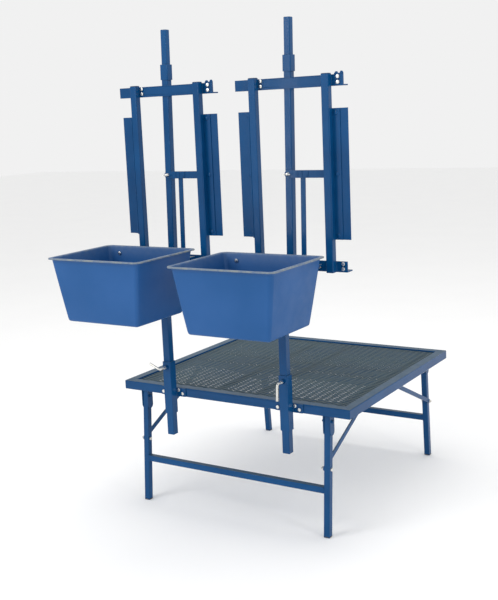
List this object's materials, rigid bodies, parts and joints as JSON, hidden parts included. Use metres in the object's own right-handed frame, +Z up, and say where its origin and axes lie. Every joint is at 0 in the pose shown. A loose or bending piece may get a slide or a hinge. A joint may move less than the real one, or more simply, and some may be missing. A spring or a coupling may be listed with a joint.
{
  "type": "double milking stand",
  "caption": "Folding-leg steel stand with an expanded-metal deck and two height-adjustable headgates, each with a swinging neck bar and a moulded feed pan, for milking goats or sheep.",
  "frame": {"origin": "on the floor, at the centre of the stand's bounding box", "axes": "+X along the deck's front rail, to the right seen from the feed pans; +Y from the feed pans to the deck's back edge; +Z up"},
  "size_m": [1.0952, 1.492, 1.958],
  "materials": {
    "frame_blue": "gloss enamel",
    "mesh": "worn gloss enamel",
    "pan_plastic": "satin moulded",
    "zinc": "bright zinc plate"
  },
  "bodies": {
    "deck": {"front_rail": "frame_blue", "back_rail": "frame_blue", "left_rail": "frame_blue", "right_rail": "frame_blue", "mesh_ledge": "frame_blue", "cross_angles": "frame_blue", "mesh_stringers": "frame_blue", "deck_mesh": "mesh", "mast_socket_left": "frame_blue", "mast_socket_right": "frame_blue", "deck_brackets": "frame_blue", "deck_bolts": "zinc"},
    "front_legs": {"front_leg_left": "frame_blue", "front_leg_right": "frame_blue", "front_leg_crossbar": "frame_blue", "front_brace_bolts": "zinc"},
    "front_brace_left": {"front_brace_left": "frame_blue"},
    "front_brace_right": {"front_brace_right": "frame_blue"},
    "back_legs": {"back_leg_left": "frame_blue", "back_leg_right": "frame_blue", "back_leg_crossbar": "frame_blue", "back_brace_bolts": "zinc"},
    "back_brace_left": {"back_brace_left": "frame_blue"},
    "back_brace_right": {"back_brace_right": "frame_blue"},
    "left_gate": {"left_mast": "frame_blue", "left_lower_bar": "frame_blue", "left_upper_bar": "frame_blue", "left_upright_left": "frame_blue", "left_upright_right": "frame_blue", "left_shield_left": "frame_blue", "left_shield_right": "frame_blue", "left_latch_plate": "frame_blue", "left_pan_bar": "frame_blue", "left_feed_pan": "pan_plastic", "left_gate_bolts": "zinc"},
    "left_neck": {"left_neck_bar": "frame_blue", "left_neck_collar": "frame_blue", "left_neck_handle": "frame_blue"},
    "left_cross_bar": {"left_cross_bar": "frame_blue"},
    "left_keeper_bar": {"left_keeper_bar": "frame_blue"},
    "left_wing_bolt": {"left_wing_bolt": "zinc"},
    "left_clamp_screw": {"left_clamp_screw": "zinc"},
    "right_gate": {"right_mast": "frame_blue", "right_lower_bar": "frame_blue", "right_upper_bar": "frame_blue", "right_upright_left": "frame_blue", "right_upright_right": "frame_blue", "right_shield_left": "frame_blue", "right_shield_right": "frame_blue", "right_latch_plate": "frame_blue", "right_pan_bar": "frame_blue", "right_feed_pan": "pan_plastic", "right_gate_bolts": "zinc"},
    "right_neck": {"right_neck_bar": "frame_blue", "right_neck_collar": "frame_blue", "right_neck_handle": "frame_blue"},
    "right_cross_bar": {"right_cross_bar": "frame_blue"},
    "right_keeper_bar": {"right_keeper_bar": "frame_blue"},
    "right_wing_bolt": {"right_wing_bolt": "zinc"},
    "right_clamp_screw": {"right_clamp_screw": "zinc"}
  },
  "joints": [
    {"name": "front_legs_fold", "type": "hinge", "parent": "deck", "child": "front_legs", "pos_m": [-0.01405, -0.262, 0.455], "axis": [1, 0, 0], "range_deg": [0, 80]},
    {"name": "front_brace_left_swing", "type": "hinge", "parent": "front_legs", "child": "front_brace_left", "pos_m": [-0.46265, -0.27573, 0.268], "axis": [-1, 0, 0], "range_deg": [0, 100]},
    {"name": "front_brace_right_swing", "type": "hinge", "parent": "front_legs", "child": "front_brace_right", "pos_m": [0.40335, -0.27573, 0.268], "axis": [-1, 0, 0], "range_deg": [0, 100]},
    {"name": "back_legs_fold", "type": "hinge", "parent": "deck", "child": "back_legs", "pos_m": [-0.01405, 0.6999, 0.455], "axis": [-1, 0, 0], "range_deg": [0, 80]},
    {"name": "back_brace_left_swing", "type": "hinge", "parent": "back_legs", "child": "back_brace_left", "pos_m": [-0.43145, 0.71363, 0.268], "axis": [1, 0, 0], "range_deg": [0, 100]},
    {"name": "back_brace_right_swing", "type": "hinge", "parent": "back_legs", "child": "back_brace_right", "pos_m": [0.43455, 0.71363, 0.268], "axis": [1, 0, 0], "range_deg": [0, 100]},
    {"name": "left_gate_height", "type": "slide", "parent": "deck", "child": "left_gate", "axis": [0, 0, 1], "range_m": [-0.09, 0.15]},
    {"name": "left_neck_swing", "type": "hinge", "parent": "left_gate", "child": "left_neck", "pos_m": [-0.26205, -0.26912, 1.058], "axis": [0, 1, 0], "range_deg": [-2, 11]},
    {"name": "left_cross_swing", "type": "hinge", "parent": "left_neck", "child": "left_cross_bar", "pos_m": [-0.2544, -0.26912, 1.39491], "axis": [0, 1, 0], "range_deg": [-11, 2]},
    {"name": "left_keeper_swing", "type": "hinge", "parent": "left_gate", "child": "left_keeper_bar", "pos_m": [-0.20245, -0.28342, 1.058], "axis": [0, 1, 0], "range_deg": [-2, 11]},
    {"name": "left_wing_turn", "type": "hinge", "parent": "left_neck", "child": "left_wing_bolt", "pos_m": [-0.2544, -0.26912, 1.39491], "axis": [0, 1, 0], "range_deg": [-180, 180]},
    {"name": "left_clamp_turn", "type": "hinge", "parent": "deck", "child": "left_clamp_screw", "pos_m": [-0.28905, -0.3049, 0.609], "axis": [0, 1, 0], "range_deg": [-180, 180]},
    {"name": "right_gate_height", "type": "slide", "parent": "deck", "child": "right_gate", "axis": [0, 0, 1], "range_m": [-0.09, 0.15]},
    {"name": "right_neck_swing", "type": "hinge", "parent": "right_gate", "child": "right_neck", "pos_m": [0.28795, -0.26912, 1.058], "axis": [0, 1, 0], "range_deg": [-2, 11]},
    {"name": "right_cross_swing", "type": "hinge", "parent": "right_neck", "child": "right_cross_bar", "pos_m": [0.2956, -0.26912, 1.39491], "axis": [0, 1, 0], "range_deg": [-11, 2]},
    {"name": "right_keeper_swing", "type": "hinge", "parent": "right_gate", "child": "right_keeper_bar", "pos_m": [0.34755, -0.28342, 1.058], "axis": [0, 1, 0], "range_deg": [-2, 11]},
    {"name": "right_wing_turn", "type": "hinge", "parent": "right_neck", "child": "right_wing_bolt", "pos_m": [0.2956, -0.26912, 1.39491], "axis": [0, 1, 0], "range_deg": [-180, 180]},
    {"name": "right_clamp_turn", "type": "hinge", "parent": "deck", "child": "right_clamp_screw", "pos_m": [0.26095, -0.3049, 0.609], "axis": [0, 1, 0], "range_deg": [-180, 180]}
  ],
  "couplings": [
    {"joint": "front_brace_left_swing", "follows": "front_legs_fold", "ratio": 1.246},
    {"joint": "front_brace_right_swing", "follows": "front_legs_fold", "ratio": 1.246},
    {"joint": "back_brace_left_swing", "follows": "back_legs_fold", "ratio": 1.246},
    {"joint": "back_brace_right_swing", "follows": "back_legs_fold", "ratio": 1.246},
    {"joint": "left_cross_swing", "follows": "left_neck_swing", "ratio": -1},
    {"joint": "left_keeper_swing", "follows": "left_neck_swing", "ratio": 1},
    {"joint": "right_cross_swing", "follows": "right_neck_swing", "ratio": -1},
    {"joint": "right_keeper_swing", "follows": "right_neck_swing", "ratio": 1}
  ]
}
